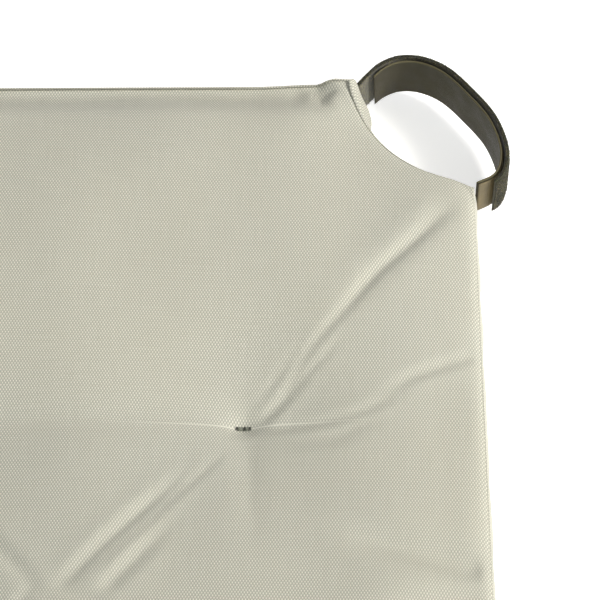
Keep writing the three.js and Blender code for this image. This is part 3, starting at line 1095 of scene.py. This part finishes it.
def oxford_cloth():
    """Plain weave of sage polyester: each float of thread is a small bright bump, with painted shade in the
    low places between floats.
    """
    n = Nodes("oxford_cloth")
    cloth = n.cloth()
    x, y, _ = n.split(cloth)
    over = n.math("MULTIPLY", n.wave(x, 2 * WARP_PITCH), n.wave(y, 2 * WEFT_PITCH))
    float_height = n.math("POWER", n.math("ABSOLUTE", over), 0.5)
    share = n.range(over, -1, 1, 0, 1)
    slub_warp = n.noise(n.stretched(cloth, (1.4, 0.05, 1)), 1.0)
    slub_weft = n.noise(n.stretched(cloth, (0.04, 0.9, 1)), 1.0)
    cloudy = n.noise(n.place(), 9.0, 4.0)
    warp_colour = n.mix(slub_warp, (218, 216, 201), (242, 240, 227))
    weft_colour = n.mix(slub_weft, (142, 144, 130), (168, 169, 156))
    colour = n.mix(share, weft_colour, warp_colour)
    # Painted shade: the colour is darkened where the weave dips between floats.
    gap = n.range(float_height, 0.0, 0.5, 0.5, 1.0)
    colour = n.mix(1.0, colour, n.mix(gap, (98, 102, 88), (255, 255, 255)), "MULTIPLY")
    colour = n.mix(n.range(cloudy, 0.35, 0.7, 0.0, 0.12), colour, (206, 198, 170))
    # Painted highlight along the fine folds drawn out from the tufts.
    colour = n.mix(pulled_fold_highlight(n), colour, (232, 230, 216))
    roughness = n.range(slub_warp, 0.3, 0.7, 0.62, 0.8)
    fine = n.noise(n.stretched(cloth, (3.0, 3.0, 3.0)), 1.0, 2.0)
    height = n.math("ADD", float_height, n.math("MULTIPLY", fine, 0.25))
    normal = n.bump(height, 0.00012, 0.7)
    return n.finish(colour, roughness, normal, Sheen_Weight=0.15, Sheen_Roughness=0.5,
                    Specular_IOR_Level=0.35)


RIB_PITCH = 0.55
PICK_PITCH = 0.45


def woven_tape(name, dark, light, selvedge):
    """Smooth nylon tape with a fine rib across it, painted highlights on the tops of the rib, and a paler
    selvedge.
    """
    n = Nodes(name)
    cloth = n.cloth()
    along, up, _ = n.split(cloth)
    weave = n.math("MULTIPLY", n.wave(along, RIB_PITCH), n.wave(up, PICK_PITCH))
    to_edge = n.math("MINIMUM", n.math("SUBTRACT", STRAP_HIGH, up), n.math("SUBTRACT", up, STRAP_LOW))
    edge = n.range(to_edge, 0.25, 1.0, 0.6, 0.0)
    worn = n.noise(cloth, 0.12, 4.0)
    shade = n.mix(worn, dark, light)
    # Painted highlight: the tops of the rib are mixed towards a paler colour.
    shade = n.mix(n.range(weave, -1, 1, 0.0, 0.25), shade, (80, 74, 52))
    colour = n.mix(edge, shade, selvedge)
    roughness = n.range(worn, 0.3, 0.7, 0.5, 0.68)
    normal = n.bump(weave, 0.00006, 0.6)
    return n.finish(colour, roughness, normal, Sheen_Weight=0.05, Specular_IOR_Level=0.3)


def loop_nap():
    """Fuzzy looped pile, dark, with painted yellow-green highlights glinting on its loops."""
    n = Nodes("loop_nap")
    cloth = n.place()
    clump = n.noise(cloth, 900.0, 3.0)
    wide = n.noise(cloth, 160.0, 2.0)
    colour = n.mix(n.range(clump, 0.4, 0.66, 0, 1), (22, 20, 8), (74, 71, 32))
    # Painted highlight: small glints scattered over the loops, thicker in some patches.
    painted_glint = n.range(n.noise(cloth, 1700.0, 2.0), 0.56, 0.66, 0, 1)
    colour = n.mix(n.math("MULTIPLY", painted_glint, n.range(wide, 0.4, 0.6, 0.2, 1)), colour, (150, 138, 78))
    normal = n.bump(clump, 0.0004, 0.9)
    return n.finish(colour, n.range(clump, 0, 1, 0.8, 1.0), normal, Sheen_Weight=0.3, Sheen_Roughness=0.6)


def moulded_hooks():
    """Tan moulded hooks on their base; the sewn ends of the straps look the same."""
    n = Nodes("moulded_hooks")
    place = n.place()
    worn = n.noise(place, 220.0, 3.0)
    colour = n.mix(worn, (98, 86, 58), (130, 118, 86))
    grain = n.noise(place, 1500.0, 2.0)
    return n.finish(colour, n.range(worn, 0, 1, 0.45, 0.65), n.bump(grain, 0.00008, 0.5),
                    Specular_IOR_Level=0.45)


# Needle holes along a sewn bar, where the thread gets painted shade, in millimetres from its middle, and the
# length of a thread's twist.
TUFT_HOLES = (-3.0, 0.5, 2.9)
TWIST_LENGTH = 0.45 * MM


def polyester_thread():
    """Twisted sewing thread, darker grey-green than the cloth, with painted shade at its needle holes."""
    n = Nodes("polyester_thread")
    place = n.place()
    x, y, z = n.split(place)
    twist = n.wave(n.math("ADD", n.math("ADD", x, y), z), TWIST_LENGTH)
    spots = n.noise(place, 420.0, 3.0)
    colour = n.mix(spots, (122, 126, 110), (176, 180, 164))
    colour = n.mix(n.range(twist, -1, 1, 0, 0.35), colour, (92, 96, 82))
    hole_shade = 1000.0
    for off in TUFT_HOLES:
        hole_shade = n.math("MINIMUM", hole_shade, n.distance(n.math("ABSOLUTE", x), (TUFT_X + off) * MM))
    # Painted shade: nearly black at each needle hole, where the thread goes down into the pad.
    colour = n.mix(n.range(hole_shade, 0.0003, 0.0009, 0.9, 0.0), colour, (38, 40, 32))
    return n.finish(colour, n.range(spots, 0, 1, 0.55, 0.8), n.bump(twist, 0.00006, 0.6),
                    Sheen_Weight=0.1)


def seam_thread():
    """The cover's own seam thread, close to the cloth's colour but in shade."""
    n = Nodes("seam_thread")
    spots = n.noise(n.place(), 300.0, 3.0)
    colour = n.mix(spots, (52, 54, 42), (92, 94, 78))
    return n.finish(colour, n.range(spots, 0, 1, 0.6, 0.85), n.bump(spots, 0.00005, 0.5))


def foam_cells():
    """Open-cell foam, with painted shade in its pores."""
    n = Nodes("foam_cells")
    place = n.place()
    cells = n.add("ShaderNodeTexVoronoi", {"Vector": place, "Scale": 900.0}, feature="F1")
    pore = n.range(cells.outputs["Distance"], 0.1, 0.6, 0.0, 1.0)
    # Painted shade: darker in the hollow of each cell, paler on its walls.
    colour = n.mix(pore, (176, 160, 104), (238, 226, 176))
    stain = n.noise(place, 14.0)
    colour = n.mix(n.range(stain, 0.45, 0.75, 0, 0.3), colour, (214, 190, 120))
    return n.finish(colour, n.range(pore, 0, 1, 0.95, 0.85), n.bump(pore, 0.0004, 0.8))


def fibre_wadding():
    """Soft white bonded fibres."""
    n = Nodes("fibre_wadding")
    place = n.place()
    strand = n.noise(n.stretched(place, (1.0, 6.0, 2.0)), 240.0, 6.0, 0.7)
    tangle = n.noise(place, 60.0, 5.0)
    colour = n.mix(strand, (206, 204, 196), (250, 249, 245))
    colour = n.mix(n.range(tangle, 0.4, 0.7, 0, 0.25), colour, (224, 220, 208))
    return n.finish(colour, n.range(strand, 0, 1, 0.85, 1.0), n.bump(strand, 0.0006, 0.8), Sheen_Weight=0.3)


def paper_floor():
    """Plain pale studio floor."""
    n = Nodes("paper_floor")
    grain = n.noise(n.place(), 30.0)
    colour = n.mix(grain, (250, 250, 250), (254, 254, 254))
    return n.finish(colour, 0.9, n.bump(grain, 0.0001, 0.1), Specular_IOR_Level=0.1,
                    Emission_Color=(1.0, 1.0, 1.0, 1.0), Emission_Strength=0.55)


def paint(obj, material):
    obj.data.materials.clear()
    obj.data.materials.append(material)


# --- the pad


def build_pad(looks):
    top = top_panel()
    under = under_panel()
    strips = {name: side_strip(name) for name in STRIP_NAMES}
    for piece in (top, under, *strips.values()):
        paint(piece, looks["cloth"])
    for name, layer in filling().items():
        paint(layer, looks["foam" if name == "foam_core" else "wadding"])
    for row in ROWS:
        for side in SIDES:
            paint(tuft_thread(row, side), looks["thread"])
    paint(seam_stitches("top_seam_stitches", SEAM_TOP_Z - 0.9, 1), looks["seam"])
    paint(seam_stitches("bottom_seam_stitches", SEAM_LOW_Z + 0.4, 0), looks["seam"])


def build_straps(looks):
    for label, side in SIDES.items():
        for kind, piece in strap_pair(label, side).items():
            paint(piece, looks[kind])
        for place in ("outer", "inner"):
            paint(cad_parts[f"{place}_strap_sewn_end_{label}"], looks["hooks"])


# --- studio

CAMERA_HEIGHT_ANGLE = math.radians(57)
CAMERA_YAW = math.radians(1.8)
CAMERA_ROLL = math.radians(1.2)
CAMERA_DISTANCE = 1.76
CAMERA_LENS = 224.4
LOOK_AT = Vector((0.114, 0.1175, 0.030))


def add_camera():
    level = math.cos(CAMERA_HEIGHT_ANGLE)
    across, ahead = math.sin(CAMERA_YAW) * level, math.cos(CAMERA_YAW) * level
    away = Vector((across, ahead, -math.sin(CAMERA_HEIGHT_ANGLE)))
    data = bpy.data.cameras.new("camera")
    data.lens = CAMERA_LENS
    data.sensor_width = 36.0
    data.clip_end = 20.0
    camera = into_scene("camera", data)
    camera.location = LOOK_AT - away * CAMERA_DISTANCE
    turn = away.to_track_quat("-Z", "Y").to_matrix().to_4x4()
    camera.rotation_euler = (turn @ Matrix.Rotation(CAMERA_ROLL, 4, "Z")).to_euler()
    bpy.context.scene.camera = camera


def add_lamp(name, place, target, size, power, colour, spread):
    data = bpy.data.lights.new(name, "AREA")
    data.shape = "DISK"
    data.size = size
    data.energy = power
    data.color = colour
    data.spread = math.radians(spread)
    lamp = into_scene(name, data)
    lamp.location = place
    lamp.rotation_euler = (Vector(target) - Vector(place)).to_track_quat("-Z", "Y").to_euler()


KEY_LAMP = {"place": (2.06, -0.1, 1.44), "target": (0.12, 0.16, 0.03), "size": 1.0, "power": 2.7,
            "colour": (1.0, 0.965, 0.92), "spread": 24}
FRONT_LAMP = {"place": (-0.05, -1.35, 1.0), "target": (0.1, 0.2, 0.03), "size": 1.2, "power": 1.08,
              "colour": (0.96, 0.98, 1.0), "spread": 50}
SKY_STRENGTH = 0.3
FLOOR_HALF = 4000.0


def add_studio():
    """A pale paper floor under two soft lamps and a dim sky."""
    bpy.context.scene.view_settings.view_transform = "Standard"
    world = bpy.data.worlds.new("studio")
    bpy.context.scene.world = world
    world.use_nodes = True
    background = world.node_tree.nodes["Background"]
    background.inputs["Color"].default_value = (0.96, 0.98, 1.0, 1.0)
    background.inputs["Strength"].default_value = SKY_STRENGTH
    add_lamp("key", **KEY_LAMP)
    add_lamp("front", **FRONT_LAMP)
    corners = [(-1, -1, 0), (1, -1, 0), (1, 1, 0), (-1, 1, 0)]
    floor = new_object("floor", np.array(corners) * FLOOR_HALF, [(0, 1, 2, 3)])
    paint(floor, paper_floor())


# --- everything

def main():
    add_camera()
    add_studio()
    looks = {
        "cloth": oxford_cloth(), "foam": foam_cells(), "wadding": fibre_wadding(),
        "thread": polyester_thread(), "seam": seam_thread(), "pile": loop_nap(), "hooks": moulded_hooks(),
        "outer": woven_tape("outer_tape", (34, 32, 17), (54, 52, 31), (62, 66, 44)),
        "inner": woven_tape("inner_tape", (38, 34, 15), (58, 53, 30), (112, 106, 76)),
    }
    build_pad(looks)
    build_straps(looks)


main()
